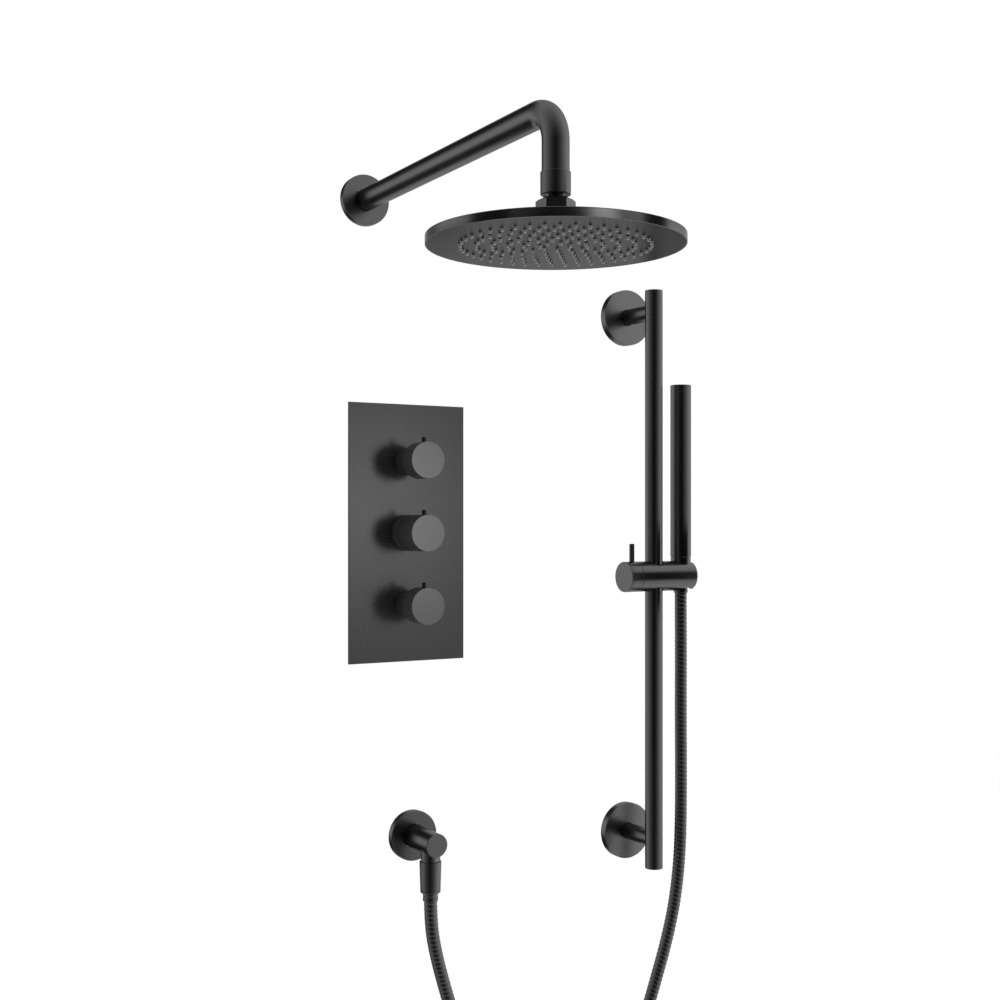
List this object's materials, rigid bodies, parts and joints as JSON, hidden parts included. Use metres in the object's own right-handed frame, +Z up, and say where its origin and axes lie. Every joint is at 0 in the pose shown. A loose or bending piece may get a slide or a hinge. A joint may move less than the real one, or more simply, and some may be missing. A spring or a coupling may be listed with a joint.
{
  "type": "rainfall shower set",
  "caption": "Concealed rain shower set: arm with round head, knob valve behind a flat plate, riser rail with sliding stick handset, and a hose outlet.",
  "frame": {"origin": "on the finished wall plane, where the middle knob's axis meets it", "axes": "+Z up, -Y out of the wall into the room, +X to the right as seen from the room"},
  "size_m": [0.5374, 0.593, 1.1645],
  "materials": {
    "matt_black": "brushed satin black coating",
    "hose_metal": "satin black convoluted metal hose",
    "brass": "as cast and turned",
    "steel": "zinc plated",
    "acetal": "moulded",
    "cartridge_plastic": "moulded, glass filled",
    "silicone": "soft grey silicone",
    "seal_foam": "closed-cell foam"
  },
  "bodies": {
    "root": {"arm_wall_disc": "matt_black", "shower_arm": "matt_black", "arm_wall_nipple": "brass", "arm_end_sleeve": "matt_black", "ball_stud": "matt_black", "valve_plate_seal": "seal_foam", "valve_plate": "matt_black", "valve_body": "brass", "thermostatic_cartridge": "cartridge_plastic", "flow_cartridges": "cartridge_plastic", "cartridge_nuts": "brass", "flow_shrouds": "matt_black", "temperature_ring": "matt_black", "rail_tube": "matt_black", "rail_end_plugs": "matt_black", "rail_wall_discs": "matt_black", "rail_posts": "matt_black", "rail_wall_bushes": "brass", "rail_wall_screws": "steel", "rail_grub_screws": "steel", "outlet_wall_disc": "matt_black", "outlet_elbow": "matt_black", "outlet_wall_nipple": "brass", "outlet_check_valve": "cartridge_plastic", "hose_nut_outlet": "matt_black", "hose_ferrule_outlet": "matt_black", "hose_lower": "hose_metal"},
    "upper_flow": {"upper_flow_knob": "matt_black", "upper_flow_lever": "matt_black", "upper_flow_spindle": "brass"},
    "temperature": {"temperature_knob": "matt_black", "temperature_lever": "matt_black", "temperature_spindle": "brass"},
    "lower_flow": {"lower_flow_knob": "matt_black", "lower_flow_lever": "matt_black", "lower_flow_spindle": "brass"},
    "upper_ring": {"ball_upper_ring": "acetal"},
    "lower_ring": {"ball_lower_ring": "acetal"},
    "rain_head": {"ball_collar_nut": "matt_black", "head_upper_shell": "matt_black", "head_face_plate": "matt_black", "head_nozzle_mat": "silicone", "head_studs": "steel"},
    "slider": {"slider_liner": "acetal", "hose_upper": "hose_metal"},
    "holder": {"slider_body": "matt_black", "clamp_pad": "brass"},
    "clamp": {"clamp_knob": "matt_black", "clamp_stud": "steel", "clamp_lever": "matt_black"},
    "handset_nut": {"hose_nut_handset": "matt_black", "hose_ferrule_handset": "matt_black"},
    "handset": {"handset_shell": "matt_black", "handset_top_cap": "matt_black", "handset_spray_strip": "silicone", "handset_spigot": "brass"}
  },
  "joints": [
    {"name": "upper_flow_turn", "type": "hinge", "parent": "root", "child": "upper_flow", "pos_m": [0, 0, 0.083], "axis": [0, -1, 0], "range_deg": [0, 90]},
    {"name": "temperature_turn", "type": "hinge", "parent": "root", "child": "temperature", "pos_m": [0, 0, 0], "axis": [0, -1, 0], "range_deg": [-140, 90]},
    {"name": "lower_flow_turn", "type": "hinge", "parent": "root", "child": "lower_flow", "pos_m": [0, 0, -0.083], "axis": [0, -1, 0], "range_deg": [0, 90]},
    {"name": "head_tilt_side", "type": "hinge", "parent": "root", "child": "upper_ring", "pos_m": [-0.0546, -0.41, 0.288], "axis": [0, 1, 0], "range_deg": [-10, 10]},
    {"name": "head_tilt_front", "type": "hinge", "parent": "upper_ring", "child": "lower_ring", "pos_m": [-0.0546, -0.41, 0.288], "axis": [1, 0, 0], "range_deg": [-10, 10]},
    {"name": "head_spin", "type": "hinge", "parent": "lower_ring", "child": "rain_head", "pos_m": [-0.0546, -0.41, 0.288], "axis": [0, 0, 1], "continuous": true},
    {"name": "slider_slide", "type": "slide", "parent": "root", "child": "slider", "axis": [0, 0, 1], "range_m": [-0.29, 0.29], "deforming": ["hose_lower"]},
    {"name": "slider_swivel", "type": "hinge", "parent": "slider", "child": "holder", "pos_m": [0.3112, -0.0649, -0.0549], "axis": [0, 0, 1], "range_deg": [-45, 45], "deforming": ["hose_upper"]},
    {"name": "clamp_turn", "type": "hinge", "parent": "holder", "child": "clamp", "pos_m": [0.2741, -0.0649, -0.0549], "axis": [1, 0, 0], "range_deg": [0, 90]},
    {"name": "handset_lift", "type": "slide", "parent": "holder", "child": "handset_nut", "axis": [0, 0, 1], "range_m": [0, 0.03]},
    {"name": "handset_turn", "type": "hinge", "parent": "handset_nut", "child": "handset", "pos_m": [0.3532, -0.0649, 0.077], "axis": [0, 0, 1], "continuous": true}
  ]
}
